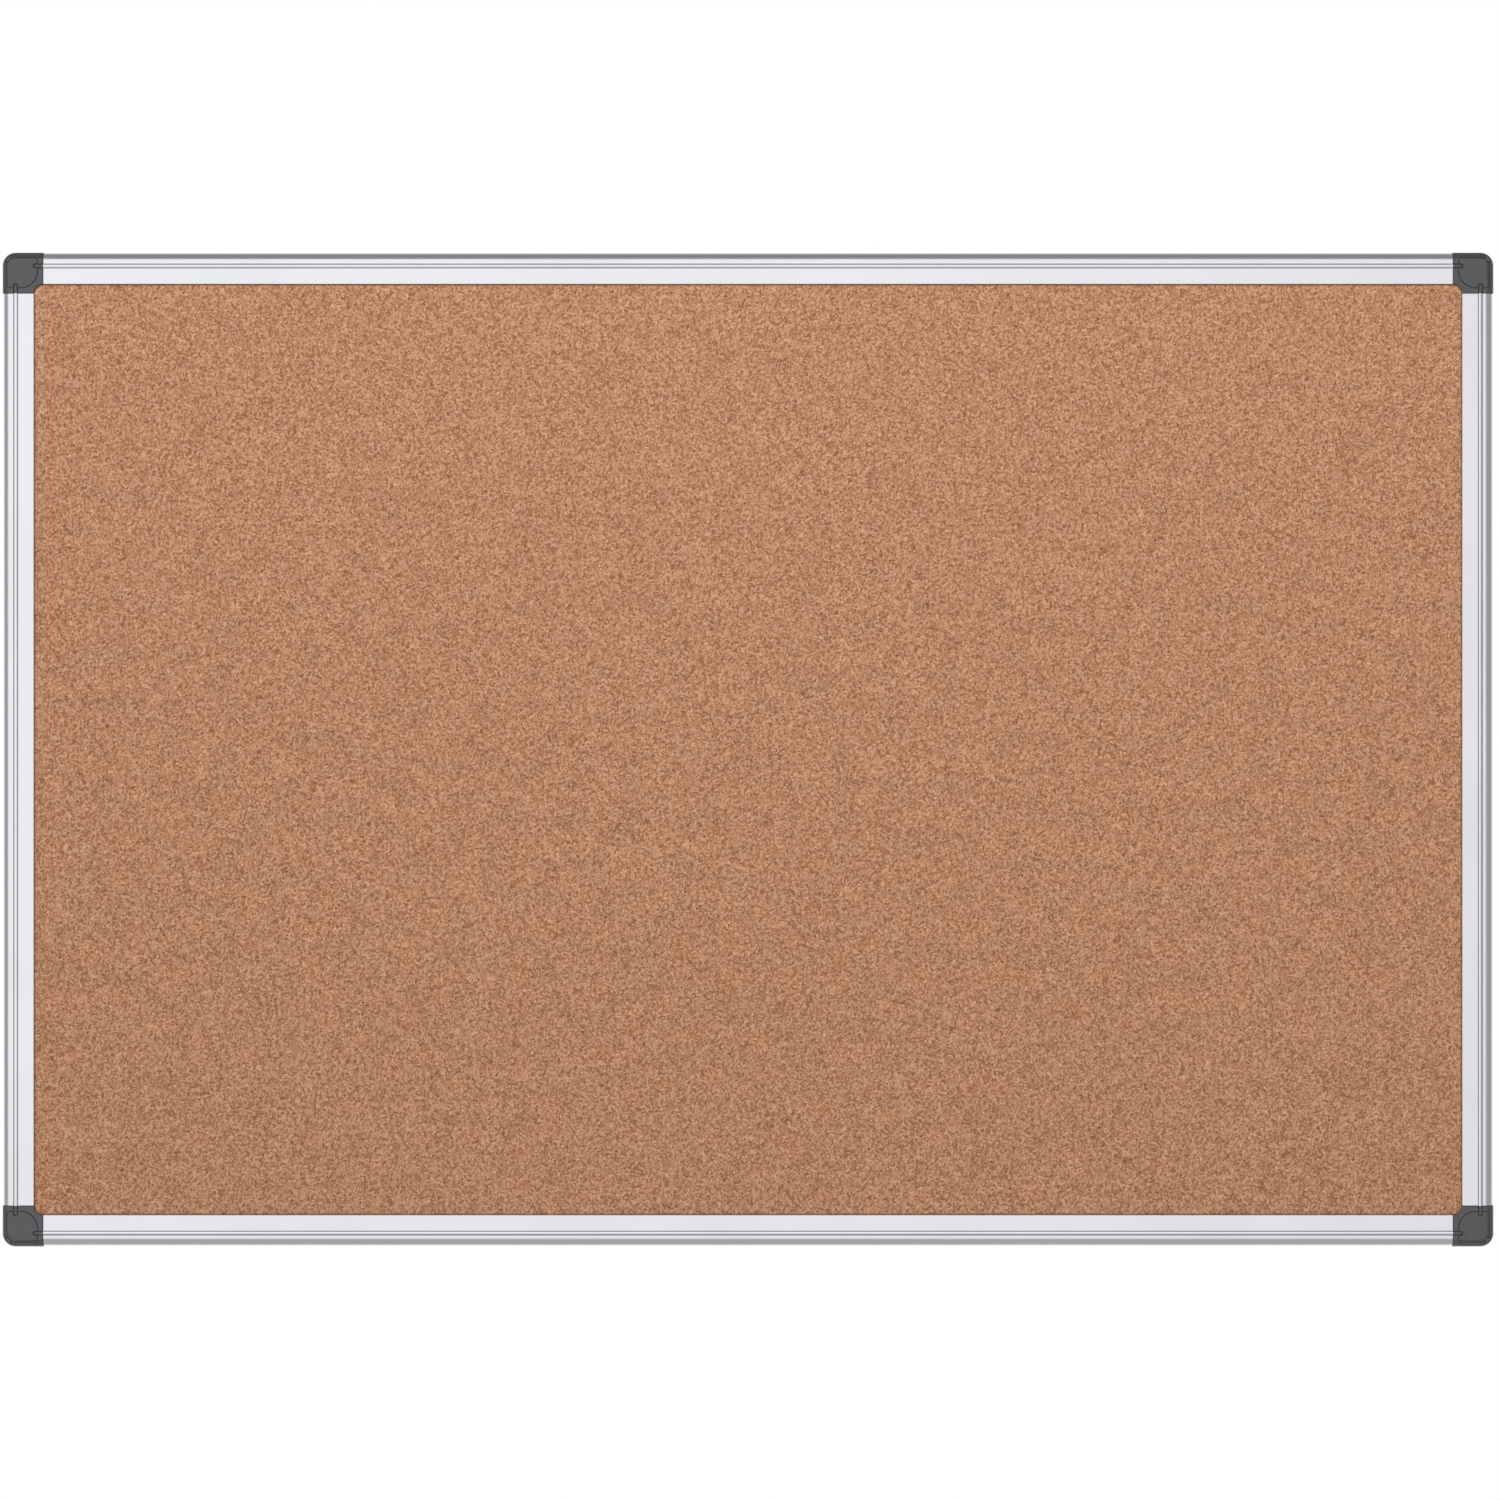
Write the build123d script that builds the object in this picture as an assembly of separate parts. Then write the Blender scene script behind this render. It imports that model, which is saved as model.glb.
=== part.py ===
from build123d import *
import os
from math import sqrt

# Cork bulletin board: a cork-faced softboard panel held in four hollow aluminium rails, which plug onto the
# legs of four moulded corner pieces. A flip-up cover on the front of each corner piece hides a wall screw.
#
# Frame of the whole board, in millimetres: +Z is up, +X is to the right of someone facing the board, and the
# front faces -Y. Y = 0 is the wall, and the origin is the centre of the four wall screw holes.
#
# Corners and rails are drawn at the bottom left, in coordinates of their own: u and v run inwards from the
# board's outer corner along its bottom and left sides, and h is the height above the wall. They are local x, y
# and z.

# Overall size
BOARD_WIDTH = 900.0
BOARD_HEIGHT = 600.0
BOARD_DEPTH = 17.0

# Corner piece
CORNER_SIZE = 24.8
CORNER_RADIUS = 8.0
BULLNOSE = 5.0
STEP_SIDE = 0.4  # the corner piece stands this proud of the rails' outer sides
STEP_FRONT = 0.3  # and this proud of their fronts
INNER_EDGE = 0.4  # small rounding along the edge beside the cork
END_CHAMFER = 0.25  # round the visible edges where a rail and a corner piece meet
END_GAP = 0.05  # between a rail's cut end and the corner piece

# Rail section: a is measured inwards from the rail's outer side
RAIL_WIDTH = 19.0
RAIL_DEPTH = BOARD_DEPTH - STEP_FRONT
INNER_RADIUS = CORNER_SIZE - STEP_SIDE - RAIL_WIDTH  # of the corner piece's concave edge
RAIL_WALL = 1.3
RAIL_BACK_RADIUS = 1.0
WEB_A = 10.7  # face of the web that the panel's edge looks at
FLANGE_A = 16.7  # reach of the flange behind the panel
SLOT_FRONT = RAIL_DEPTH - RAIL_WALL
SLOT_BACK = 3.5
CHAMBER_FILLET = 0.5
BEAD_A = 8.0  # centre of the bead along the rail's front
BEAD_HALF = 0.82
CHANNEL_HALF = 1.48
CHANNEL_FLOOR = RAIL_DEPTH - 0.5
BEAD_SHOULDER = 0.36  # height of the bead's upright sides
BEAD_CROWN = 0.12  # rise of its rounded top above them

# Panel
CORK_THICKNESS = 2.0
BACKING_THICKNESS = 0.5
PANEL_THICKNESS = SLOT_FRONT - SLOT_BACK
CORE_THICKNESS = PANEL_THICKNESS - CORK_THICKNESS - BACKING_THICKNESS
PANEL_EDGE = 11.5  # from the board's outer side to the panel's edge
PANEL_CLIP = 38.4  # u + v along the panel's clipped corners, which the corner pieces hide
CLIP_CLEARANCE = 0.2

# Legs of the corner piece, inside the rails' chambers
LEG_LENGTH = 34.0
LEG_CLEARANCE = 0.1
LEG_WALL = 1.5
LEG_FLOOR = 3.0
LEG_ROOT = 3.0  # solid length of the leg next to the corner piece
LEG_LEAD = 0.4  # chamfer round the leg's tip
LEG_BOSS_RADIUS = 2.3
LEG_BOSS_HEIGHT = 11.5

# Leg screw: countersunk, self-tapping, 2.2 x 9.5
SCREW_AT = 17.0  # from the corner piece's end
SCREW_RADIUS = 1.1
SCREW_LENGTH = 9.5
SCREW_HEAD_RADIUS = 1.9
SCREW_HEAD_HEIGHT = 0.95
SCREW_TIP = 1.6
SCREW_SUNK = 0.1  # depth of the head's face below the rail's back
SCREW_CLEARANCE = 0.1
PILOT_DEPTH = 10.5
CROSS_WIDTH = 0.45
CROSS_LENGTH = 1.9
CROSS_DEPTH = 0.6

# Wall screw hole, and the pocket for the wall screw's head
WALL_HOLE_AT = 10.6  # u and v of its centre
WALL_HOLE_RADIUS = 2.9
HEAD_POCKET_RADIUS = 5.2
HEAD_POCKET_FLOOR = 8.0

# Pockets moulded into the corner piece's back, one beside each leg's root
BACK_POCKET_LOW = (16.8, 2.6, 0.0)
BACK_POCKET_HIGH = (22.4, 10.2, 12.0)
BACK_POCKET_FILLET = 1.0

# Screw cover
COVER_LOW = 3.3  # its straight sides, from the board's outer sides
COVER_HIGH = 21.4
COVER_ROUND = 10.2  # radius of its large rounded corner
COVER_SMALL_ROUND = 2.0
COVER_CHAMFER = 9.97  # u + v along the edge at its hinge
COVER_OUTER_GAP = 0.2  # round the cover, along its straight sides
COVER_INNER_GAP = 0.45  # along the sides that its large round joins
COVER_HINGE_GAP = 0.28  # along the edge at its hinge
COVER_THICKNESS = 1.75
COVER_EDGE = 0.15  # rounding of the edge round its front
COVER_RIM = BOARD_DEPTH - 0.5  # all of that edge is higher than this
COVER_BACK = BOARD_DEPTH - COVER_THICKNESS
RECESS_FLOOR = COVER_BACK - 0.15
NOTCH_END = 20.3  # centre of the round end of the channel that cuts into the cover
FINGER_TOP = BOARD_DEPTH - 0.05  # top of the corner piece's bead
FINGER_EDGE = 0.26  # rounding round that top
SNAP_AT = 16.4  # u and v of the snap tab's centre
SNAP_WIDTH = 3.0
SNAP_THICKNESS = 0.9
SNAP_LENGTH = 2.2
SNAP_SIDE_GAP = 0.3
SNAP_SWING_GAP = 0.45  # the tab's tip swings outwards a little as the cover opens
SNAP_SLOT_FLOOR = BOARD_DEPTH - 4.6

# Hinge of the screw cover, across the diagonal at the board's outer corner
HINGE_AT = 4.1  # u and v of the axis where it crosses the diagonal
HINGE_S = HINGE_AT * sqrt(2)  # its distance along the diagonal
HINGE_H = BOARD_DEPTH - 0.97
KNUCKLE_RADIUS = 0.95
KNUCKLE_FLAT = HINGE_H + 0.7  # height of the flat on the closed knuckles' front
KNUCKLE_LENGTH = 1.4
KNUCKLE_GAP = 0.1
EAR_LENGTH = 0.75
HINGE_LENGTH = KNUCKLE_LENGTH + 2 * (KNUCKLE_GAP + EAR_LENGTH)
PIN_RADIUS = 0.4
EAR_HOLE_RADIUS = 0.41
KNUCKLE_HOLE_RADIUS = 0.45
TROUGH_RADIUS = 1.6
TROUGH_LENGTH = 5.2
EAR_BLOCK_HALF = 0.8
EAR_BLOCK_DEPTH = 1.8
ARM_TOP = HINGE_H + 0.6  # of the arm between the cover and its knuckle
ARM_OVERLAP = 0.2

NEAR = 0.01  # tolerance for finding edges by their place
BEYOND = 1.0  # how far a cutting shape reaches past what it cuts
ON_FLOOR = (Align.CENTER, Align.CENTER, Align.MIN)


def block(low, high):
    """Box between two opposite corners."""
    sides = [b - a for a, b in zip(low, high)]
    return Pos(*low) * Box(*sides, align=(Align.MIN, Align.MIN, Align.MIN))


def across(shape):
    """Mirror image of a shape in the corner's diagonal, which swaps u and v."""
    return mirror(shape, about=Plane(origin=(0, 0, 0), z_dir=(1, -1, 0)))


def both_sides(shape):
    """A shape of the bottom side and its mirror image on the left side."""
    return shape + across(shape)


def along_hinge(radius, length):
    """Cylinder about the hinge axis, centred on the corner's diagonal."""
    axis = Plane(origin=(HINGE_AT, HINGE_AT, HINGE_H), x_dir=(1, 1, 0), z_dir=(1, -1, 0))
    return axis * Cylinder(radius, length)


def on_diagonal(s_low, s_high, width, h_low, h_high):
    """Box across the corner's diagonal, s being the distance along it from the board's outer corner."""
    return Rot(0, 0, 45) * block((s_low, -width / 2, h_low), (s_high, width / 2, h_high))


def knuckle(length):
    """Hinge knuckle, centred on the corner's diagonal, with a flat on its front while the cover is closed."""
    low = HINGE_S - KNUCKLE_RADIUS
    high = HINGE_S + KNUCKLE_RADIUS
    flat = on_diagonal(low, high, length + BEYOND, KNUCKLE_FLAT, BOARD_DEPTH)
    return along_hinge(KNUCKLE_RADIUS, length) - flat


# ---- Rails ---------------------------------------------------------------------------------------


def rail_section():
    """Section of the rail, with a as local x and h as local y."""
    shoulder = CHANNEL_FLOOR + BEAD_SHOULDER
    with BuildSketch() as section:
        with BuildLine():
            Polyline(
                (RAIL_BACK_RADIUS, 0),
                (WEB_A, 0),
                (WEB_A, SLOT_BACK - RAIL_WALL),
                (FLANGE_A, SLOT_BACK - RAIL_WALL),
                (FLANGE_A, SLOT_BACK),
                (WEB_A, SLOT_BACK),
                (WEB_A, SLOT_FRONT),
                (RAIL_WIDTH, SLOT_FRONT),
                (RAIL_WIDTH, RAIL_DEPTH - INNER_EDGE),
            )
            CenterArc((RAIL_WIDTH - INNER_EDGE, RAIL_DEPTH - INNER_EDGE), INNER_EDGE, 0, 90)
            Polyline(
                (RAIL_WIDTH - INNER_EDGE, RAIL_DEPTH),
                (BEAD_A + CHANNEL_HALF, RAIL_DEPTH),
                (BEAD_A + CHANNEL_HALF, CHANNEL_FLOOR),
                (BEAD_A + BEAD_HALF, CHANNEL_FLOOR),
                (BEAD_A + BEAD_HALF, shoulder),
            )
            ThreePointArc(
                (BEAD_A + BEAD_HALF, shoulder),
                (BEAD_A, shoulder + BEAD_CROWN),
                (BEAD_A - BEAD_HALF, shoulder),
            )
            Polyline(
                (BEAD_A - BEAD_HALF, shoulder),
                (BEAD_A - BEAD_HALF, CHANNEL_FLOOR),
                (BEAD_A - CHANNEL_HALF, CHANNEL_FLOOR),
                (BEAD_A - CHANNEL_HALF, RAIL_DEPTH),
                (BULLNOSE, RAIL_DEPTH),
            )
            CenterArc((BULLNOSE, RAIL_DEPTH - BULLNOSE), BULLNOSE, 90, 90)
            Line((0, RAIL_DEPTH - BULLNOSE), (0, RAIL_BACK_RADIUS))
            CenterArc((RAIL_BACK_RADIUS, RAIL_BACK_RADIUS), RAIL_BACK_RADIUS, 180, 90)
        make_face()
    return section.sketch - chamber_section(0)


def chamber_section(clearance):
    """Section of the rail's hollow chamber, or of a leg that fits in it with a clearance all round."""
    low = RAIL_WALL + clearance
    far = WEB_A - RAIL_WALL - clearance
    top = SLOT_FRONT - clearance
    points = [(low, low), (far, low), (far, top), (low, top)]
    front_round = BULLNOSE - RAIL_WALL - clearance
    radii = [CHAMBER_FILLET, CHAMBER_FILLET, CHAMBER_FILLET, front_round]
    return make_face(FilletPolyline(*points, radius=radii, close=True))


def along_bottom(section, start, length):
    """Bar of a rail's or leg's section along the board's bottom side, from u = start."""
    section_plane = Plane(origin=(start, STEP_SIDE, 0), x_dir=(0, 1, 0), z_dir=(1, 0, 0))
    return extrude(section_plane * section, length)


def screw_middle():
    """Distance of the leg screws, in the middle of the chamber, from the board's outer side."""
    return STEP_SIDE + WEB_A / 2


def screw_head(clearance):
    """Cone of the leg screw's head, its face at h = 0."""
    return Cone(SCREW_HEAD_RADIUS + clearance, SCREW_RADIUS + clearance, SCREW_HEAD_HEIGHT, align=ON_FLOOR)


def visible_end_edges(bar, end):
    """Edges of a bar's end face that show in front: the bullnose and the wide flat front."""
    edges = end.edges()
    flat = edges.filter_by(lambda e: e.center().Z > end.bounding_box().max.Z - NEAR and e.length > BULLNOSE)
    bullnose = edges.filter_by(GeomType.CIRCLE).filter_by(lambda e: abs(e.radius - BULLNOSE) < NEAR)
    return flat + bullnose


def rail(side_length):
    """Bottom rail of a board of this width, in u, v and h."""
    start = CORNER_SIZE + END_GAP
    bar = along_bottom(rail_section(), start, side_length - 2 * start)
    ends = bar.faces().sort_by(Axis.X)
    bar = chamfer(visible_end_edges(bar, ends[0]) + visible_end_edges(bar, ends[-1]), END_CHAMFER)
    hole = Cylinder(SCREW_RADIUS + SCREW_CLEARANCE, 2 * RAIL_WALL, align=ON_FLOOR)
    countersunk = hole + screw_head(SCREW_CLEARANCE)
    for u in (CORNER_SIZE + SCREW_AT, side_length - CORNER_SIZE - SCREW_AT):
        bar -= Pos(u, screw_middle(), 0) * countersunk
    return bar


# ---- Corner piece --------------------------------------------------------------------------------


def corner_envelope():
    """Outer shape of the corner piece with its cover closed."""
    outline = Rectangle(CORNER_SIZE, CORNER_SIZE, align=(Align.MIN, Align.MIN))
    outer_corner = outline.vertices().sort_by_distance((0, 0, 0))[0]
    outline = fillet(outer_corner, CORNER_RADIUS)
    outline -= Pos(CORNER_SIZE, CORNER_SIZE) * Circle(INNER_RADIUS)
    body = extrude(outline, BOARD_DEPTH)
    front = body.edges().group_by(Axis.Z)[-1]
    outside = front.filter_by(lambda e: e.center().X + e.center().Y < CORNER_SIZE)
    body = fillet(outside, BULLNOSE)
    inner_corner = (CORNER_SIZE, CORNER_SIZE, BOARD_DEPTH)
    front = body.edges().group_by(Axis.Z)[-1]
    inside = front.filter_by(GeomType.CIRCLE).sort_by_distance(inner_corner)[0]
    body = fillet(inside, INNER_EDGE)
    ends = [body.faces().sort_by(Axis.X)[-1], body.faces().sort_by(Axis.Y)[-1]]
    return chamfer(visible_end_edges(body, ends[0]) + visible_end_edges(body, ends[1]), END_CHAMFER)


def cover_outline(outer_gap, inner_gap, hinge_gap):
    """Outline of the screw cover, or with gaps the outline of the recess that it lies in."""
    low = COVER_LOW - outer_gap
    high = COVER_HIGH + inner_gap
    cut = COVER_CHAMFER - hinge_gap * sqrt(2) - low
    points = [(low, cut), (low, high), (high, high), (high, low), (cut, low)]
    small = COVER_SMALL_ROUND + outer_gap
    radii = [0, small, COVER_ROUND + inner_gap, small, 0]
    return make_face(FilletPolyline(*points, radius=radii, close=True))


def finger(half_width, h_low, h_high, u_far):
    """Upright-sided strip along the rail's bead line, from its round end outwards to u = u_far."""
    v = BEAD_A + STEP_SIDE
    strip = block((NOTCH_END, v - half_width, h_low), (u_far, v + half_width, h_high))
    return strip + Pos(NOTCH_END, v, h_low) * Cylinder(half_width, h_high - h_low, align=ON_FLOOR)


def channel(h_low):
    """Cut for the channel of the rail's bead line, down to a height."""
    return finger(CHANNEL_HALF, h_low, BOARD_DEPTH + BEYOND, CORNER_SIZE + BEYOND)


def bead():
    """Bead of the corner piece, which carries on the rail's bead and ends round inside the cover's notch."""
    strip = finger(BEAD_HALF, RECESS_FLOOR, FINGER_TOP, CORNER_SIZE)
    top = strip.edges().group_by(Axis.Z)[-1]
    rim = top.filter_by(lambda e: e.center().X < CORNER_SIZE - NEAR)
    return fillet(rim, FINGER_EDGE)


def ears():
    """The two outer hinge knuckles on the corner piece, each with a block that ties it to the piece."""
    whole = knuckle(HINGE_LENGTH)
    low = HINGE_S - EAR_BLOCK_HALF
    high = HINGE_S + EAR_BLOCK_HALF
    whole += on_diagonal(low, high, HINGE_LENGTH, HINGE_H - EAR_BLOCK_DEPTH, HINGE_H)
    notch_width = KNUCKLE_LENGTH + 2 * KNUCKLE_GAP
    notch_low = HINGE_S - TROUGH_RADIUS
    notch_high = HINGE_S + TROUGH_RADIUS
    whole -= on_diagonal(notch_low, notch_high, notch_width, HINGE_H - TROUGH_RADIUS, BOARD_DEPTH)
    return whole - along_hinge(EAR_HOLE_RADIUS, HINGE_LENGTH)


def leg():
    """Leg along the bottom rail, open at its front like a tray, with a boss for the leg screw."""
    bar = along_bottom(chamber_section(LEG_CLEARANCE), CORNER_SIZE, LEG_LENGTH)
    tip = bar.faces().sort_by(Axis.X)[-1]
    bar = chamfer(tip.edges(), LEG_LEAD)
    inset = RAIL_WALL + LEG_CLEARANCE + LEG_WALL
    hollow = block(
        (CORNER_SIZE + LEG_ROOT, STEP_SIDE + inset, LEG_FLOOR),
        (CORNER_SIZE + LEG_LENGTH - LEG_WALL, STEP_SIDE + WEB_A - inset, BOARD_DEPTH),
    )
    at_screw = Pos(CORNER_SIZE + SCREW_AT, screw_middle(), 0)
    hollow -= at_screw * Cylinder(LEG_BOSS_RADIUS, LEG_BOSS_HEIGHT, align=ON_FLOOR)
    return bar - hollow - at_screw * Cylinder(SCREW_RADIUS, PILOT_DEPTH, align=ON_FLOOR)


def back_pocket():
    """Pocket in the back of the corner piece, between the wall screw hole and the bottom leg's root."""
    pocket = block(BACK_POCKET_LOW, BACK_POCKET_HIGH)
    return fillet(pocket.edges().filter_by(Axis.Z), BACK_POCKET_FILLET)


def panel_slot():
    """Space in the corner piece for the panel's clipped corner."""
    clip = PANEL_CLIP - CLIP_CLEARANCE
    far = CORNER_SIZE + BEYOND
    triangle = Polygon((far, clip - far), (far, far), (clip - far, far), align=None)
    return Pos(0, 0, SLOT_BACK) * extrude(triangle, PANEL_THICKNESS)


def snap_slot():
    """Slot in the recess floor that the cover's snap tab drops into."""
    low = SNAP_AT * sqrt(2) - SNAP_THICKNESS / 2 - SNAP_SIDE_GAP
    high = SNAP_AT * sqrt(2) + SNAP_THICKNESS / 2 + SNAP_SWING_GAP
    return on_diagonal(low, high, SNAP_WIDTH + 2 * SNAP_SIDE_GAP, SNAP_SLOT_FLOOR, BOARD_DEPTH)


def wall_screw_space():
    """Hole for the wall screw, and the wider pocket in front of it for the screw's head."""
    hole = Cylinder(WALL_HOLE_RADIUS, HEAD_POCKET_FLOOR + BEYOND, align=ON_FLOOR)
    pocket = Cylinder(HEAD_POCKET_RADIUS, BOARD_DEPTH, align=ON_FLOOR)
    return Pos(WALL_HOLE_AT, WALL_HOLE_AT) * (hole + Pos(0, 0, HEAD_POCKET_FLOOR) * pocket)


def corner_piece(envelope):
    """Corner piece at the bottom left, in u, v and h."""
    recess = cover_outline(COVER_OUTER_GAP, COVER_INNER_GAP, COVER_HINGE_GAP)
    piece = envelope - Pos(0, 0, RECESS_FLOOR) * extrude(recess, BOARD_DEPTH)
    piece -= wall_screw_space()
    piece -= panel_slot()
    piece -= snap_slot()
    piece -= along_hinge(TROUGH_RADIUS, TROUGH_LENGTH)
    piece += ears()
    piece -= both_sides(channel(RECESS_FLOOR))
    piece += both_sides(bead())
    piece += both_sides(leg())
    return piece - both_sides(back_pocket())


# ---- Screw cover and hinge pin -------------------------------------------------------------------


def snap_tab():
    """Tab under the cover, opposite its hinge."""
    low = SNAP_AT * sqrt(2) - SNAP_THICKNESS / 2
    return on_diagonal(low, low + SNAP_THICKNESS, SNAP_WIDTH, COVER_BACK - SNAP_LENGTH, COVER_BACK)


def rounded_front(cover):
    """The cover with the edge round its front rounded."""
    sides = cover.faces().filter_by(lambda f: abs(f.normal_at(f.center()).Z) < NEAR)
    rim = sides.edges().filter_by(lambda e: e.center().Z > COVER_RIM)
    return fillet(rim, COVER_EDGE)


def screw_cover(envelope):
    """Flip-up cover at the bottom left, closed, in u, v and h."""
    cover = envelope & Pos(0, 0, COVER_BACK) * extrude(cover_outline(0, 0, 0), BOARD_DEPTH)
    cover = rounded_front(cover - both_sides(channel(0)))
    cover += snap_tab()
    cover += knuckle(KNUCKLE_LENGTH)
    plate_s = COVER_CHAMFER / sqrt(2) + ARM_OVERLAP
    cover += on_diagonal(HINGE_S, plate_s, KNUCKLE_LENGTH, COVER_BACK, ARM_TOP)
    return cover - along_hinge(KNUCKLE_HOLE_RADIUS, KNUCKLE_LENGTH)


def hinge_pin():
    """Steel pin through the three knuckles, flush with the ears' outer faces."""
    return along_hinge(PIN_RADIUS, HINGE_LENGTH)


# ---- Panel and leg screws ------------------------------------------------------------------------


def panel_layer(thickness, h_low):
    """One layer of the panel with its four corners clipped, in the board's frame."""
    outline = Rectangle(BOARD_WIDTH - 2 * PANEL_EDGE, BOARD_HEIGHT - 2 * PANEL_EDGE)
    outline = chamfer(outline.vertices(), PANEL_CLIP - 2 * PANEL_EDGE)
    return Rot(90, 0, 0) * Pos(0, 0, h_low) * extrude(outline, thickness)


def leg_screw():
    """Countersunk self-tapping screw at the bottom left corner's bottom leg, in u, v and h."""
    shank_length = SCREW_LENGTH - SCREW_TIP
    screw = Cylinder(SCREW_RADIUS, shank_length, align=ON_FLOOR) + screw_head(0)
    screw += Pos(0, 0, shank_length) * Cone(SCREW_RADIUS, SCREW_RADIUS / 4, SCREW_TIP, align=ON_FLOOR)
    for turn in (0, 90):
        screw -= Rot(0, 0, turn) * Box(CROSS_LENGTH, CROSS_WIDTH, 2 * CROSS_DEPTH)
    return Pos(CORNER_SIZE + SCREW_AT, screw_middle(), SCREW_SUNK) * screw


# ---- Placing and writing -------------------------------------------------------------------------


def to_board(shape):
    """Moves a bottom left shape from u, v and h into the board's frame."""
    return Pos(-BOARD_WIDTH / 2, 0, -BOARD_HEIGHT / 2) * Rot(90, 0, 0) * shape


def at_four_corners(shape):
    """A bottom left shape, in the board's frame, mirrored to each corner: a dict from the corner's name."""
    right = mirror(shape, about=Plane.YZ)
    return {
        "bottom_left": shape,
        "bottom_right": right,
        "top_left": mirror(shape, about=Plane.XY),
        "top_right": mirror(right, about=Plane.XY),
    }


def write(name, shape):
    """Writes one sub-part to its own file."""
    export_step(shape, f"parts/{name}.step")


def write_panel():
    """The panel's three layers, from the back forwards."""
    h = SLOT_BACK
    layers = {
        "backing_sheet": BACKING_THICKNESS,
        "softboard_core": CORE_THICKNESS,
        "cork_sheet": CORK_THICKNESS,
    }
    for name, thickness in layers.items():
        write(name, panel_layer(thickness, h))
        h += thickness


def write_rails():
    """The two long rails and the two short ones."""
    bottom = to_board(rail(BOARD_WIDTH))
    left = to_board(across(rail(BOARD_HEIGHT)))
    write("frame_rail_bottom", bottom)
    write("frame_rail_top", mirror(bottom, about=Plane.XY))
    write("frame_rail_left", left)
    write("frame_rail_right", mirror(left, about=Plane.YZ))


def write_corners():
    """Each corner's piece, cover and hinge pin."""
    envelope = corner_envelope()
    shapes = {
        "corner": corner_piece(envelope),
        "screw_cover": screw_cover(envelope),
        "hinge_pin": hinge_pin(),
    }
    for name, shape in shapes.items():
        for place, placed in at_four_corners(to_board(shape)).items():
            write(f"{name}_{place}", placed)


def write_leg_screws():
    """Eight leg screws, two at each corner, as separate solids of one sub-part."""
    screws = []
    for screw in (leg_screw(), across(leg_screw())):
        screws += at_four_corners(to_board(screw)).values()
    write("leg_screws", Compound(children=screws))


os.makedirs("parts", exist_ok=True)
write_panel()
write_rails()
write_corners()
write_leg_screws()
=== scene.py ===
import math
import random

import bpy
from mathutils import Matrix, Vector

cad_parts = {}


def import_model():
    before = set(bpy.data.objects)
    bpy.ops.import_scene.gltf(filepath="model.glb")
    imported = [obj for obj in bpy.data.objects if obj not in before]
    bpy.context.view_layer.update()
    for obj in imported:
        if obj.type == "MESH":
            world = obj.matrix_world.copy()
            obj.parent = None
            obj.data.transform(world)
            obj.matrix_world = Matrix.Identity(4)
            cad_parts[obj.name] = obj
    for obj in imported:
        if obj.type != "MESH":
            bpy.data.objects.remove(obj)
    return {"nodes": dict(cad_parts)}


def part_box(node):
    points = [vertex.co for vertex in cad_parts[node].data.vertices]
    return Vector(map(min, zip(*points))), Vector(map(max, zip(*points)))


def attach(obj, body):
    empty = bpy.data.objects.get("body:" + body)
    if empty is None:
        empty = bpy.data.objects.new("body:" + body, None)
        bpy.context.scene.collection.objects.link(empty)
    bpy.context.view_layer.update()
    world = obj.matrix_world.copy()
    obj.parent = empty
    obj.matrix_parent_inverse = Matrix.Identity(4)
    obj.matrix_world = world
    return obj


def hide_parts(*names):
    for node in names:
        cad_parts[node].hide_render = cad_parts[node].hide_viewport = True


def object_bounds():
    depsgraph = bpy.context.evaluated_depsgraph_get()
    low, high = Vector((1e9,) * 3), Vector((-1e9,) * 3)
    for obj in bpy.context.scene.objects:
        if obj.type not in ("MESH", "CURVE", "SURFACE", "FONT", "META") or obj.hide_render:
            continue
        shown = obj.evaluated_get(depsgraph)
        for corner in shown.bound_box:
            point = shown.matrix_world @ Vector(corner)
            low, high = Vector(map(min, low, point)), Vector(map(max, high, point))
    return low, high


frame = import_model()
CAD_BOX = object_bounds()

PLACES = ("top_left", "top_right", "bottom_left", "bottom_right")

# Camera: straight on to the board, a long lens at some distance. Metres, and millimetres for lens and sensor.
CAMERA_AT = (0.00118, -3.5090, -0.00025)
CAMERA_LENS = 139.0
CAMERA_SENSOR = 36.0
CAMERA_REACH = 50.0
LEVEL = math.radians(90)  # tilt of a camera that looks level

# Rails' two grooves, measured across the rail. Metres.
BEAD_IN = 0.0084  # from the board's outer side to the middle of the bead between them
GROOVE_OUT = 0.00115  # from there to the middle of each groove
GROOVE_HALF = 0.00033  # half a groove's width
GROOVE_SOFT = (0.6, 1.15)  # its painted shade and added roughness fade out between these shares of that half width

# The cork that shows between the rails. Metres.
OPENING_IN = 0.0194  # how far in it starts
OPENING_ROUND = 0.0054  # radius of its corners
OPENING_SHADE_WIDTH = 0.0013  # width of the painted shade line along its edge, under the rails' lips

# Cork sheet's mesh. Metres.
CORK_CLIP = 0.0154  # leg of the sheet's clipped corners
CLIP_CELLS = 6  # cells along that leg
CORK_STEP = CORK_CLIP / CLIP_CELLS  # side of one cell of the front
CORK_JITTER = 0.25 * CORK_STEP  # how far a point may move sideways
CORK_RELIEF = 0.00006  # how far a point may stand in front of or behind the sheet's face
CORK_SEED = 7

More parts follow.
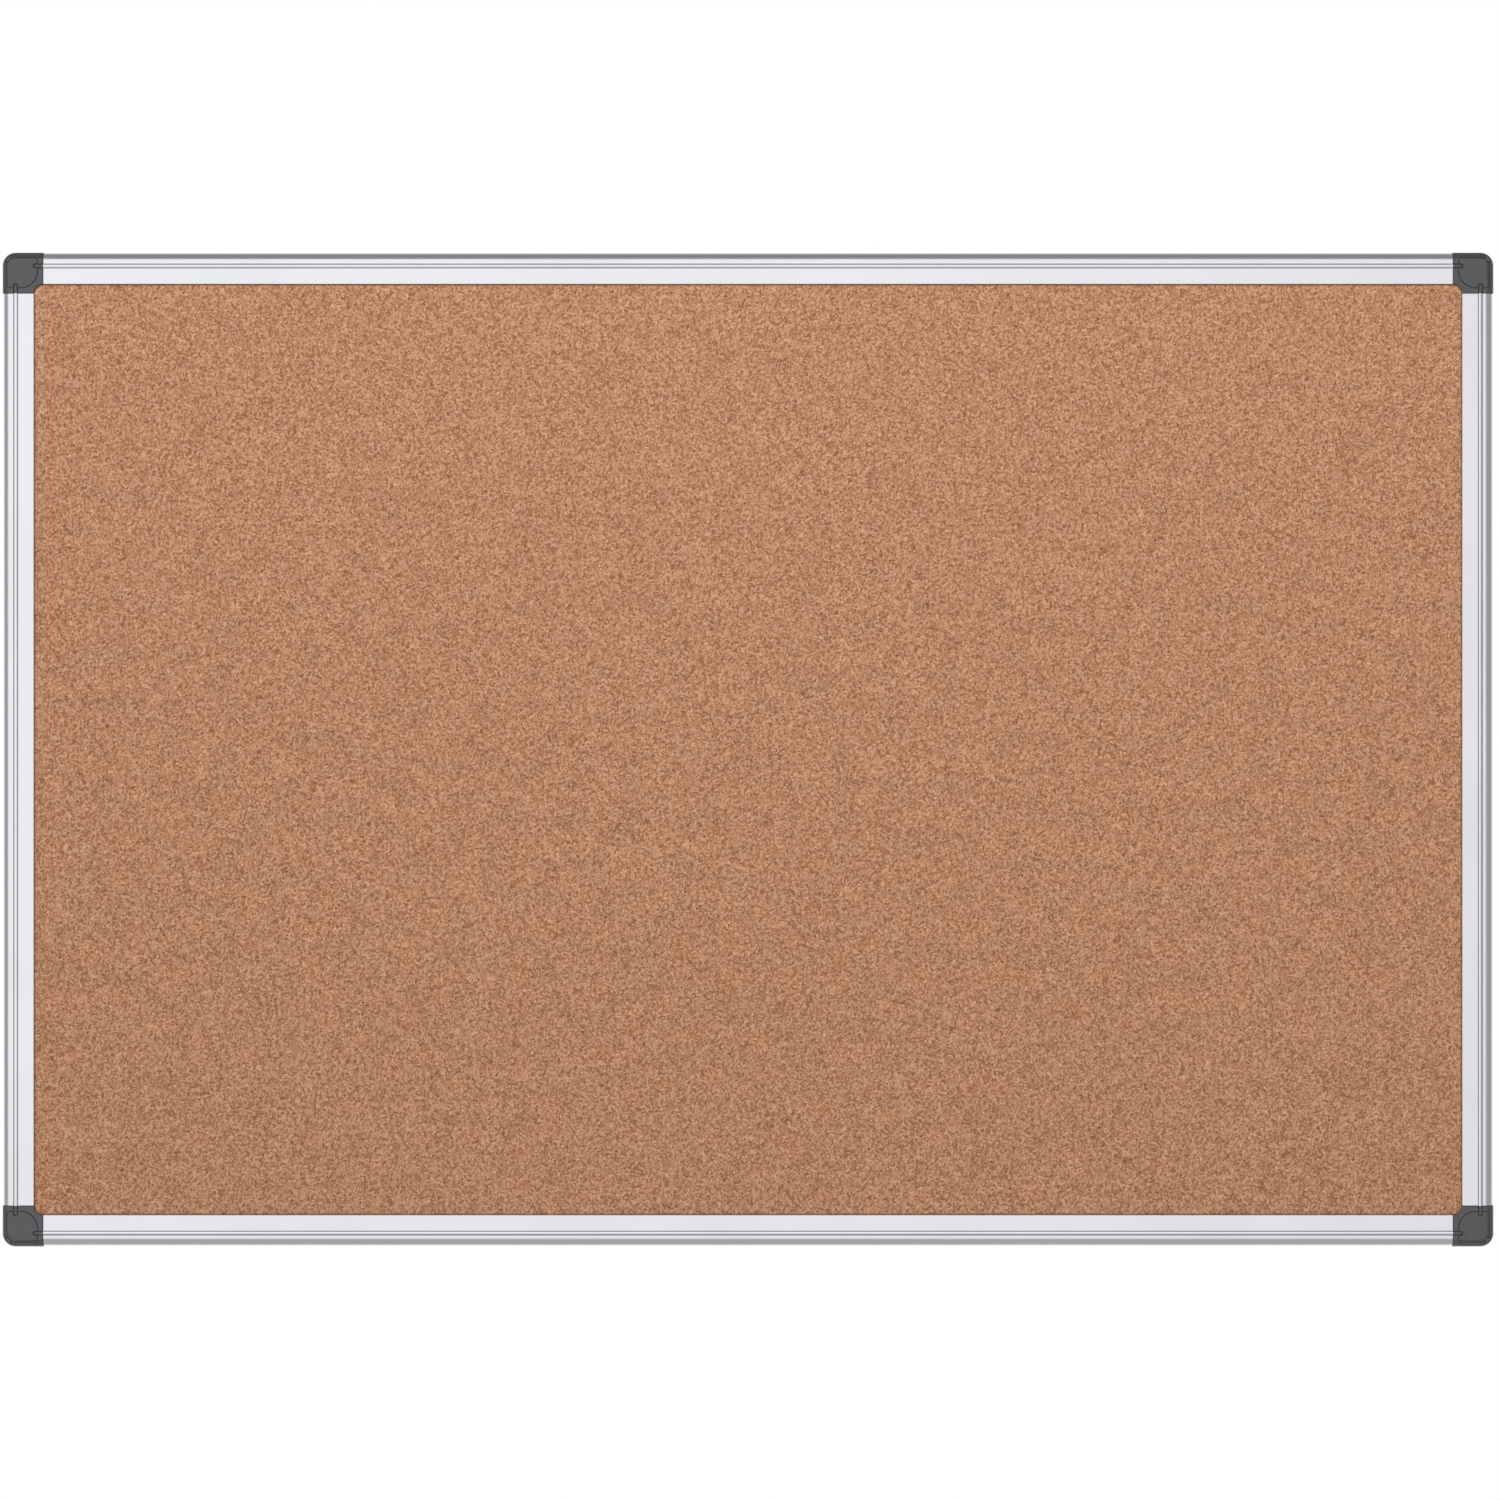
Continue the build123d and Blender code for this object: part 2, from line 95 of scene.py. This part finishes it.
# Cork's colours. Each granule's tone, from 0 to 1, picks its place between these stops.
CORK_TONES = (
    (0.08, (0.156, 0.064, 0.027)),
    (0.27, (0.304, 0.133, 0.062)),
    (0.50, (0.447, 0.220, 0.118)),
    (0.74, (0.576, 0.314, 0.186)),
    (0.92, (0.741, 0.445, 0.297)),
)
CORK_PATCHES = ((0.965, 0.975, 0.99), (1.03, 1.02, 1.005))  # tints of larger patches
CORK_BARK = (0.16, 0.068, 0.032)
CORK_BARK_STRENGTH = 0.7
CORK_BARK_CHOSEN = (0.80, 0.86)  # only cells whose random value is above these have a speck
CORK_BARK_CORE = (0.08, 0.17)  # a speck fades out between these distances from its cell's middle
# Painted shade: a dark line on the cork along the rails' lips, standing in for their contact shadow
PAINTED_EDGE_SHADE = (0.085, 0.050, 0.032)
PAINTED_EDGE_SHADE_STRENGTH = 0.68

# Cork's texture: cells or waves in a metre
CORK_WARP_SCALE = 620.0
CORK_WARP = 0.0009  # metres that the granules' outlines wander
CORK_GRAINS = ((0.7, 1220.0), (-0.8, 1120.0))  # two families of granules: lean in radians, and scale
CORK_STRETCH = (1.0, 1.0, 0.66)
CORK_GRAIN_SHARE = 0.62  # share of the granules in the tone, and the rest is the finer grain
CORK_FAMILY_SCALE = 210.0
CORK_FAMILY_TURN = (0.47, 0.53)  # one family gives way to the other between these noise values
CORK_FINE_SCALE = 1900.0
CORK_PATCH_SCALE = 62.0
CORK_BARK_SCALE = 250.0
CORK_BUMP_SHARE = 0.7
CORK_BUMP = (0.5, 0.00015)  # strength, and distance in metres

# Aluminium: waves in a metre, colours and roughness
STREAKS_ACROSS = 2400.0
STREAKS_ALONG = 5.0
ALUMINIUM_GRAIN_SCALE = 5200.0
ALUMINIUM_CLOUD_SCALE = 14.0
ALUMINIUM_SHADES = ((0.885, 0.893, 0.905), (0.925, 0.930, 0.940))
ALUMINIUM_ROUGH = (0.23, 0.29)
ALUMINIUM_CLOUD_ROUGH = 0.015
# Painted shade: the colour that darkens the rails' two grooves, standing in for the shade inside them
GROOVE_PAINTED_SHADE = (0.36, 0.36, 0.37)
GROOVE_ROUGH = 0.25  # added in the grooves
ALUMINIUM_BUMP_SHARE = 0.6
ALUMINIUM_BUMP = (0.10, 0.00003)

# Plastic: waves or cells in a metre, colours, roughness and gloss
PLASTIC_GRAIN_SCALE = 3000.0
PLASTIC_PIT_SCALE = 2600.0
PLASTIC_CLOUD_SCALE = 180.0
PLASTIC_SHADES = ((0.070, 0.070, 0.077), (0.108, 0.108, 0.118))
PLASTIC_WORN = (0.135, 0.135, 0.146)
PLASTIC_ROUGH = (0.32, 0.42)
PLASTIC_CLOUD_ROUGH = 0.04
PLASTIC_IOR = 1.55
PLASTIC_BUMP_SHARE = 0.6
PLASTIC_BUMP = (0.25, 0.00004)

# Pressed fibres: dark and light colours, waves in a metre, and roughness
SOFTBOARD = ((0.30, 0.21, 0.13), (0.52, 0.40, 0.27), 500.0, 0.95)
BACKING_PAPER = ((0.60, 0.54, 0.44), (0.74, 0.69, 0.60), 420.0, 0.9)
FIBRE_LENGTH = 7  # times a fibre's width
FIBRE_CLOUD = 14  # a cloud is this many times as large as a fibre is long
FIBRE_BUMP = (0.35, 0.0001)

# Steel: colour and roughness
PIN_STEEL = ((0.62, 0.62, 0.62), 0.32)
SCREW_STEEL = ((0.76, 0.77, 0.79), 0.30)
STEEL_SCRATCHES = (900.0, 900.0, 9000.0)
STEEL_CLOUD_SCALE = 700.0
STEEL_TARNISH = 0.88  # darkest share of the colour
STEEL_ROUGH_SPREAD = (0.06, 0.08)  # how far the roughness goes below and above
STEEL_BUMP = (0.12, 0.00002)

# Most values of a noise texture lie in the first range, and those near its middle in the second
NOISE_USUAL = (0.3, 0.7)
NOISE_MIDDLE = (0.35, 0.65)

# Studio, by direction. The soft light in front of the board has four places along each axis: where it starts,
# is full, starts to fade and ends.
SOFTBOX = {"X": (-0.85, -0.58, 0.08, 0.48), "Z": (-0.45, -0.05, 0.40, 0.64)}
SOFTBOX_DEPTH = (-0.30, 0.0)  # it is full in front of the first Y, and ends at the second
SOFTBOX_GLOW = (0.98, 0.99, 1.01)
BEHIND_DEPTH = (0.10, 0.70)  # the light behind the board starts at the first Y, and is full past the second
BEHIND_FADE = (0.05, 0.60)  # it fades upwards between these heights
BEHIND_LEAST = 0.35  # what is left of it above them
BEHIND_GLOW = (0.98, 0.98, 0.99)
DIM_GLOWS = ((0.42, 0.42, 0.425), (0.24, 0.24, 0.245))  # the rest of it, from straight down to straight up
WHITE = (1.0, 1.0, 1.0)

# Lights: place and size in metres, power in watts. Each aims at the board's middle.
BOARD_MIDDLE = Vector((0.0, 0.0, 0.0))
LIGHTS = {
    "key": {"at": (0.0, -2.1, 1.3), "size": (1.6, 0.8), "power": 42.0, "colour": (1.0, 0.99, 0.97)},
    "floor_light": {"at": (0.0, 0.0, 4.0), "size": (6.0, 6.0), "power": 420.0, "colour": WHITE},
}

# Floor. Metres.
FLOOR_SIDES = 96
FLOOR_RADIUS = 5.0
FLOOR_HEIGHT = -1.35
FLOOR_CLOUD_SCALE = 3.0
FLOOR_SHADES = ((0.80, 0.80, 0.80), (0.84, 0.84, 0.84))


# ---- Node trees ------------------------------------------------------------------------------------------


class Tree:
    """A node tree under construction: node() adds a node, with values or sockets for its inputs."""

    def __init__(self, tree):
        tree.nodes.clear()
        self.nodes = tree.nodes
        self.links = tree.links

    def node(self, kind, inputs=None, **settings):
        made = self.nodes.new(kind)
        for name, value in settings.items():
            setattr(made, name, value)
        for name, value in (inputs or {}).items():
            socket = made.inputs[name]
            if isinstance(value, bpy.types.NodeSocket):
                self.links.new(value, socket)
            else:
                socket.default_value = value
        return made

    def math(self, operation, a, b=0.0):
        return self.node("ShaderNodeMath", {0: a, 1: b}, operation=operation).outputs[0]

    def weighed(self, a, b, share):
        """Two values added, with this share of the first and the rest of the second."""
        return self.math("ADD", self.math("MULTIPLY", a, share), self.math("MULTIPLY", b, 1 - share))

    def vector(self, operation, a, b=(0.0, 0.0, 0.0)):
        return self.node("ShaderNodeVectorMath", {0: a, 1: b}, operation=operation).outputs

    def scaled(self, vector, scale):
        """A vector multiplied by three numbers."""
        return self.vector("MULTIPLY", vector, scale)[0]

    def added(self, a, b):
        return self.vector("ADD", a, b)[0]

    def mapped(self, value, low, high, to_low, to_high):
        """A value mapped from one range to another, smoothly and clamped."""
        inputs = {"Value": value, "From Min": low, "From Max": high, "To Min": to_low, "To Max": to_high}
        return self.node("ShaderNodeMapRange", inputs, interpolation_type="SMOOTHSTEP").outputs["Result"]

    def spread(self, noise, to_low, to_high):
        """A noise value mapped from the range that most of it lies in."""
        return self.mapped(noise, *NOISE_USUAL, to_low, to_high)

    def noise(self, vector, scale, detail=2.0, roughness=0.5):
        inputs = {"Vector": vector, "Scale": scale, "Detail": detail, "Roughness": roughness}
        return self.node("ShaderNodeTexNoise", inputs).outputs

    def cells(self, vector, scale):
        return self.node("ShaderNodeTexVoronoi", {"Vector": vector, "Scale": scale}, feature="F1").outputs

    def channel(self, colour, name):
        """One channel of a colour."""
        return self.node("ShaderNodeSeparateColor", {"Color": colour}).outputs[name]

    def parts(self, vector):
        """A vector's X, Y and Z."""
        return self.node("ShaderNodeSeparateXYZ", {"Vector": vector}).outputs

    def ramp(self, value, stops):
        """A colour ramp through (position, colour) stops."""
        made = self.node("ShaderNodeValToRGB", {"Fac": value})
        elements = made.color_ramp.elements
        while len(elements) < len(stops):
            elements.new(0.5)
        for element, (position, colour) in zip(elements, stops):
            element.position = position
            element.color = (*colour, 1.0)
        return made.outputs["Color"]

    def mixed(self, factor, a, b, blend="MIX"):
        """Two colours mixed. A factor or colour may be a value or a socket."""
        made = self.node("ShaderNodeMix", data_type="RGBA", blend_type=blend)
        for socket, value in ((made.inputs[0], factor), (made.inputs[6], a), (made.inputs[7], b)):
            if isinstance(value, bpy.types.NodeSocket):
                self.links.new(value, socket)
            else:
                socket.default_value = value if isinstance(value, float) else (*value, 1.0)
        return made.outputs[2]

    def bump(self, height, strength, distance):
        inputs = {"Height": height, "Strength": strength, "Distance": distance}
        return self.node("ShaderNodeBump", inputs).outputs["Normal"]


def material(name):
    """A new material, its tree, and its object coordinates in metres."""
    made = bpy.data.materials.new(name)
    made.use_nodes = True
    tree = Tree(made.node_tree)
    return made, tree, tree.node("ShaderNodeTexCoord").outputs["Object"]


def finished(made, tree, **inputs):
    """The material with its shader's inputs set. Names have underscores for spaces."""
    shader = tree.node("ShaderNodeBsdfPrincipled", {k.replace("_", " "): v for k, v in inputs.items()})
    tree.node("ShaderNodeOutputMaterial", {"Surface": shader.outputs["BSDF"]})
    return made


# ---- Materials --------------------------------------------------------------------------------------------


def opening_edge_shade(tree, at):
    """Mask of the painted shade: 1 along the edge of the cork that shows, under the rails' lips, and 0 away
    from it.
    """
    half_x, _, half_z = CAD_BOX[1]
    inner_x, inner_z = (half - OPENING_IN - OPENING_ROUND for half in (half_x, half_z))
    sides = tree.vector("ABSOLUTE", at)[0]
    beyond = tree.vector("MAXIMUM", tree.added(sides, (-inner_x, 0.0, -inner_z)))[0]
    reach = tree.vector("LENGTH", tree.scaled(beyond, (1.0, 0.0, 1.0)))["Value"]
    return tree.mapped(reach, OPENING_ROUND - OPENING_SHADE_WIDTH, OPENING_ROUND, 0.0, 1.0)


def wandered(tree, at):
    """Coordinates moved about a little, so that granules get uneven outlines."""
    warp = tree.noise(at, CORK_WARP_SCALE)["Color"]
    centred = tree.vector("SUBTRACT", warp, (0.5, 0.5, 0.5))[0]
    return tree.added(at, tree.scaled(centred, (CORK_WARP, CORK_WARP, CORK_WARP)))


def granule_tone(tree, at, warped, fine):
    """Each granule's tone: two families that lean different ways take turns, with a finer grain over both."""
    families = []
    for lean, scale in CORK_GRAINS:
        turned = tree.node("ShaderNodeMapping", {"Vector": warped, "Rotation": (0.0, lean, 0.0)}).outputs[0]
        families.append(tree.cells(tree.scaled(turned, CORK_STRETCH), scale)["Color"])
    turn = tree.mapped(tree.noise(at, CORK_FAMILY_SCALE, detail=1.0)["Fac"], *CORK_FAMILY_TURN, 0.0, 1.0)
    return tree.weighed(tree.channel(tree.mixed(turn, *families), "Red"), fine, CORK_GRAIN_SHARE)


def bark_specks(tree, warped):
    """1 in the middle of a few sparse cells, and 0 elsewhere."""
    specks = tree.cells(warped, CORK_BARK_SCALE)
    chosen = tree.mapped(tree.channel(specks["Color"], "Green"), *CORK_BARK_CHOSEN, 0.0, 1.0)
    core = tree.mapped(specks["Distance"], *CORK_BARK_CORE, 1.0, 0.0)
    return tree.math("MULTIPLY", chosen, core)


def cork_material():
    """Fine agglomerated cork: granules of about a millimetre, each of its own tone, and sparse specks, with a
    painted shade line along the rails' lips.
    """
    made, tree, at = material("cork")
    warped = wandered(tree, at)
    fine = tree.noise(warped, CORK_FINE_SCALE)["Fac"]
    tone = granule_tone(tree, at, warped, fine)
    patches = tree.mapped(tree.noise(at, CORK_PATCH_SCALE)["Fac"], *NOISE_MIDDLE, 0.0, 1.0)
    colour = tree.mixed(1.0, tree.ramp(tone, CORK_TONES), tree.mixed(patches, *CORK_PATCHES), "MULTIPLY")
    bark = tree.math("MULTIPLY", bark_specks(tree, warped), CORK_BARK_STRENGTH)
    colour = tree.mixed(bark, colour, CORK_BARK)
    # Painted shade: the cork darkens along the rails' lips
    edge = tree.math("MULTIPLY", opening_edge_shade(tree, at), PAINTED_EDGE_SHADE_STRENGTH)
    colour = tree.mixed(edge, colour, PAINTED_EDGE_SHADE)
    normal = tree.bump(tree.weighed(tone, fine, CORK_BUMP_SHARE), *CORK_BUMP)
    return finished(made, tree, Base_Color=colour, Roughness=0.9, Specular_IOR_Level=0.2, Normal=normal)


def groove_lines(tree, at, along, half_side):
    """1 in a rail's two grooves, and 0 beside them."""
    side = tree.parts(at)["Z" if along == 0 else "X"]
    inwards = tree.math("SUBTRACT", half_side, tree.math("ABSOLUTE", side))
    from_bead = tree.math("ABSOLUTE", tree.math("SUBTRACT", inwards, BEAD_IN))
    from_groove = tree.math("ABSOLUTE", tree.math("SUBTRACT", from_bead, GROOVE_OUT))
    full, gone = (share * GROOVE_HALF for share in GROOVE_SOFT)
    return tree.mapped(from_groove, full, gone, 1.0, 0.0)


def aluminium_material(name, along, half_side):
    """Satin anodised aluminium: fine streaks along the rail, painted shade in its two grooves, and duller
    metal there.

    along is the axis that the rail runs on, 0 for X or 2 for Z, and half_side half the board's size across it.
    """
    made, tree, at = material(name)
    scale = [STREAKS_ACROSS] * 3
    scale[along] = STREAKS_ALONG
    streaks = tree.noise(tree.scaled(at, scale), 1.0, detail=3.0, roughness=0.6)["Fac"]
    grain = tree.noise(at, ALUMINIUM_GRAIN_SCALE, detail=1.0)["Fac"]
    cloud = tree.noise(at, ALUMINIUM_CLOUD_SCALE)["Fac"]
    groove = groove_lines(tree, at, along, half_side)
    colour = tree.mixed(tree.mapped(streaks, 0.25, 0.75, 0.0, 1.0), *ALUMINIUM_SHADES)
    # Painted shade darkens the two grooves
    colour = tree.mixed(groove, colour, GROOVE_PAINTED_SHADE)
    clouded = tree.spread(cloud, -ALUMINIUM_CLOUD_ROUGH, ALUMINIUM_CLOUD_ROUGH)
    rough = tree.math("ADD", tree.spread(streaks, *ALUMINIUM_ROUGH), clouded)
    rough = tree.math("ADD", rough, tree.math("MULTIPLY", groove, GROOVE_ROUGH))
    normal = tree.bump(tree.weighed(streaks, grain, ALUMINIUM_BUMP_SHARE), *ALUMINIUM_BUMP)
    return finished(made, tree, Base_Color=colour, Metallic=1.0, Roughness=rough, Normal=normal)


def plastic_material():
    """Dark grey moulded plastic with a fine spark-eroded grain."""
    made, tree, at = material("corner_plastic")
    grain = tree.noise(at, PLASTIC_GRAIN_SCALE, roughness=0.6)["Fac"]
    pits = tree.cells(at, PLASTIC_PIT_SCALE)["Distance"]
    cloud = tree.noise(at, PLASTIC_CLOUD_SCALE, detail=3.0)["Fac"]
    colour = tree.mixed(tree.spread(cloud, 0.0, 1.0), *PLASTIC_SHADES)
    colour = tree.mixed(tree.mapped(grain, 0.35, 0.75, 0.0, 0.5), colour, PLASTIC_WORN)
    clouded = tree.spread(cloud, -PLASTIC_CLOUD_ROUGH, PLASTIC_CLOUD_ROUGH)
    rough = tree.math("ADD", tree.spread(grain, *PLASTIC_ROUGH), clouded)
    normal = tree.bump(tree.weighed(grain, pits, PLASTIC_BUMP_SHARE), *PLASTIC_BUMP)
    return finished(
        made, tree, Base_Color=colour, Roughness=rough, IOR=PLASTIC_IOR, Specular_IOR_Level=1.0, Normal=normal
    )


def fibre_material(name, dark, light, scale, rough):
    """Pressed fibres: the softboard's core and its paper backing."""
    made, tree, at = material(name)
    fine = FIBRE_LENGTH * scale
    lying = tree.noise(tree.scaled(at, (scale, scale, fine)), 1.0, detail=3.0)["Fac"]
    upright = tree.noise(tree.scaled(at, (fine, scale, scale)), 1.0, detail=3.0)["Fac"]
    fibres = tree.math("MAXIMUM", lying, upright)
    cloud = tree.noise(at, scale / FIBRE_CLOUD)["Fac"]
    clouded = tree.mapped(cloud, *NOISE_MIDDLE, 0.0, 0.25)
    mix = tree.math("ADD", tree.mapped(fibres, 0.42, 0.72, 0.0, 0.75), clouded)
    colour = tree.mixed(mix, dark, light)
    normal = tree.bump(fibres, *FIBRE_BUMP)
    return finished(made, tree, Base_Color=colour, Roughness=rough, Specular_IOR_Level=0.2, Normal=normal)


def steel_material(name, colour, rough):
    """Drawn or plated steel with faint cloudy tarnish and fine scratches."""
    made, tree, at = material(name)
    scratches = tree.noise(tree.scaled(at, STEEL_SCRATCHES), 1.0)["Fac"]
    cloud = tree.noise(at, STEEL_CLOUD_SCALE)["Fac"]
    tarnished = [STEEL_TARNISH * channel for channel in colour]
    tinted = tree.mixed(tree.spread(cloud, 0.0, 1.0), tarnished, colour)
    below, above = STEEL_ROUGH_SPREAD
    roughness = tree.spread(scratches, rough - below, rough + above)
    normal = tree.bump(scratches, *STEEL_BUMP)
    return finished(made, tree, Base_Color=tinted, Metallic=1.0, Roughness=roughness, Normal=normal)


def dress(material_made, *nodes):
    """Gives CAD nodes a material in every slot of theirs."""
    for name in nodes:
        mesh = frame["nodes"][name].data
        if not mesh.materials:
            mesh.materials.append(material_made)
        for i in range(len(mesh.materials)):
            mesh.materials[i] = material_made


def each_place(kind):
    return [f"{kind}_{place}" for place in PLACES]


# ---- Cork sheet -------------------------------------------------------------------------------------------


def rim_places(columns, rows):
    """The grid places round the sheet's edge, in order: four sides and four clipped corners."""
    clip = CLIP_CELLS
    places = [(i, 0) for i in range(clip, columns - clip)]
    places += [(columns - clip + k, k) for k in range(clip)]
    places += [(columns, j) for j in range(clip, rows - clip)]
    places += [(columns - k, rows - clip + k) for k in range(clip)]
    places += [(i, rows) for i in range(columns - clip, clip, -1)]
    places += [(clip - k, rows - k) for k in range(clip)]
    places += [(0, j) for j in range(rows - clip, clip, -1)]
    places += [(k, clip - k) for k in range(clip)]
    return places


def front_points(columns, rows, rim):
    """The front's points, slightly uneven inside the rim, and each grid place's number among them."""
    low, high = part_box("cork_sheet")
    rng = random.Random(CORK_SEED)
    on_rim = set(rim)
    points = []
    numbers = {}
    for j in range(rows + 1):
        for i in range(columns + 1):
            if min(i, columns - i) + min(j, rows - j) < CLIP_CELLS:
                continue
            jitter, relief = (0.0, 0.0) if (i, j) in on_rim else (CORK_JITTER, CORK_RELIEF)
            x = -high.x + 2 * high.x * i / columns + rng.uniform(-jitter, jitter)
            z = -high.z + 2 * high.z * j / rows + rng.uniform(-jitter, jitter)
            numbers[i, j] = len(points)
            points.append((x, low.y + rng.uniform(-relief, relief), z))
    return points, numbers


def front_faces(columns, rows, numbers):
    """A four-sided face for each cell, and a three-sided one where a clipped corner cuts a cell in half."""
    faces = []
    for j in range(rows):
        for i in range(columns):
            around = ((i, j), (i + 1, j), (i + 1, j + 1), (i, j + 1))
            kept = tuple(numbers[place] for place in around if place in numbers)
            if len(kept) >= 3:
                faces.append(kept)
    return faces


def cork_mesh():
    """The cork as a closed solid whose front has the slight relief of sanded granules."""
    _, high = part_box("cork_sheet")
    columns = round(2 * high.x / CORK_STEP)
    rows = round(2 * high.z / CORK_STEP)
    rim = rim_places(columns, rows)
    points, numbers = front_points(columns, rows, rim)
    faces = front_faces(columns, rows, numbers)
    front = [numbers[place] for place in rim]
    back = range(len(points), len(points) + len(front))
    points += [(points[v][0], high.y, points[v][2]) for v in front]
    for k in range(len(front)):
        faces.append((front[k], front[k - 1], back[k - 1], back[k]))
    faces.append(tuple(reversed(back)))
    mesh = bpy.data.meshes.new("cork_relief")
    mesh.from_pydata(points, [], faces)
    mesh.validate()
    mesh.update()
    return mesh


def cork_sheet():
    mesh = cork_mesh()
    mesh.materials.append(cork_material())
    sheet = bpy.data.objects.new("cork_relief", mesh)
    bpy.context.scene.collection.objects.link(sheet)
    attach(sheet, "frame")
    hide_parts("cork_sheet")
    return sheet


# ---- Stage ------------------------------------------------------------------------------------------------


def floor():
    """A plain pale floor, well below the board and outside the main picture. No rail mirrors it."""
    ring = [2 * math.pi * k / FLOOR_SIDES for k in range(FLOOR_SIDES)]
    verts = [(FLOOR_RADIUS * math.cos(a), FLOOR_RADIUS * math.sin(a), FLOOR_HEIGHT) for a in ring]
    mesh = bpy.data.meshes.new("floor")
    mesh.from_pydata(verts, [], [tuple(range(FLOOR_SIDES))])
    made, tree, at = material("floor")
    cloud = tree.noise(at, FLOOR_CLOUD_SCALE, detail=3.0)["Fac"]
    colour = tree.mixed(tree.spread(cloud, 0.0, 1.0), *FLOOR_SHADES)
    mesh.materials.append(finished(made, tree, Base_Color=colour, Roughness=0.8))
    plane = bpy.data.objects.new("floor", mesh)
    plane.visible_glossy = False
    plane.visible_diffuse = False
    bpy.context.scene.collection.objects.link(plane)
    return plane


def softbox(tree, parts):
    """1 in the directions of the soft light in front of the board, up and to the left, and 0 elsewhere."""
    front = tree.mapped(parts["Y"], *SOFTBOX_DEPTH, 1.0, 0.0)
    for axis, (start, full, fade, end) in SOFTBOX.items():
        front = tree.math("MULTIPLY", front, tree.mapped(parts[axis], start, full, 0.0, 1.0))
        front = tree.math("MULTIPLY", front, tree.mapped(parts[axis], fade, end, 1.0, 0.0))
    return front


def world():
    """White where the camera looks past the board. All else sees a dim studio, lit before and behind it."""
    made = bpy.data.worlds.new("studio")
    bpy.context.scene.world = made
    made.use_nodes = True
    tree = Tree(made.node_tree)
    parts = tree.parts(tree.node("ShaderNodeTexCoord").outputs["Generated"])
    behind = tree.mapped(parts["Y"], *BEHIND_DEPTH, 0.0, 1.0)
    behind = tree.math("MULTIPLY", behind, tree.mapped(parts["Z"], *BEHIND_FADE, 1.0, BEHIND_LEAST))
    dim = tree.mixed(tree.mapped(parts["Z"], -1.0, 1.0, 0.0, 1.0), *DIM_GLOWS)
    room = tree.mixed(softbox(tree, parts), dim, SOFTBOX_GLOW)
    room = tree.mixed(behind, room, BEHIND_GLOW)
    seen = tree.node("ShaderNodeLightPath").outputs["Is Camera Ray"]
    background = tree.node("ShaderNodeBackground", {"Color": tree.mixed(seen, room, WHITE), "Strength": 1.0})
    tree.node("ShaderNodeOutputWorld", {"Surface": background.outputs["Background"]})


def area_light(name):
    """A rectangular light from LIGHTS."""
    values = LIGHTS[name]
    light = bpy.data.lights.new(name, "AREA")
    light.shape = "RECTANGLE"
    light.size, light.size_y = values["size"]
    light.energy = values["power"]
    light.color = values["colour"]
    placed = bpy.data.objects.new(name, light)
    placed.location = values["at"]
    placed.rotation_euler = (BOARD_MIDDLE - Vector(values["at"])).to_track_quat("-Z", "Y").to_euler()
    bpy.context.scene.collection.objects.link(placed)
    return placed


def lit_only(light, piece):
    """Makes a light shine on one piece alone, so that no rail mirrors it."""
    receivers = bpy.data.collections.new(f"lit_by_{light.name}")
    receivers.objects.link(piece)
    light.light_linking.receiver_collection = receivers


def camera():
    data = bpy.data.cameras.new("camera")
    data.lens = CAMERA_LENS
    data.sensor_width = CAMERA_SENSOR
    data.clip_end = CAMERA_REACH
    placed = bpy.data.objects.new("camera", data)
    placed.location = CAMERA_AT
    placed.rotation_euler = (LEVEL, 0.0, 0.0)
    bpy.context.scene.collection.objects.link(placed)
    bpy.context.scene.camera = placed


cork = cork_sheet()
half_width, _, half_height = CAD_BOX[1]
dress(aluminium_material("aluminium_across", 0, half_height), "frame_rail_top", "frame_rail_bottom")
dress(aluminium_material("aluminium_upright", 2, half_width), "frame_rail_left", "frame_rail_right")
dress(plastic_material(), *each_place("corner"), *each_place("screw_cover"))
dress(steel_material("pin_steel", *PIN_STEEL), *each_place("hinge_pin"))
dress(steel_material("zinc_plated_screw", *SCREW_STEEL), "leg_screws")
dress(fibre_material("softboard", *SOFTBOARD), "softboard_core")
dress(fibre_material("backing_paper", *BACKING_PAPER), "backing_sheet")
ground = floor()
world()
lit_only(area_light("key"), cork)
lit_only(area_light("floor_light"), ground)
camera()
bpy.context.scene.view_settings.view_transform = "Standard"
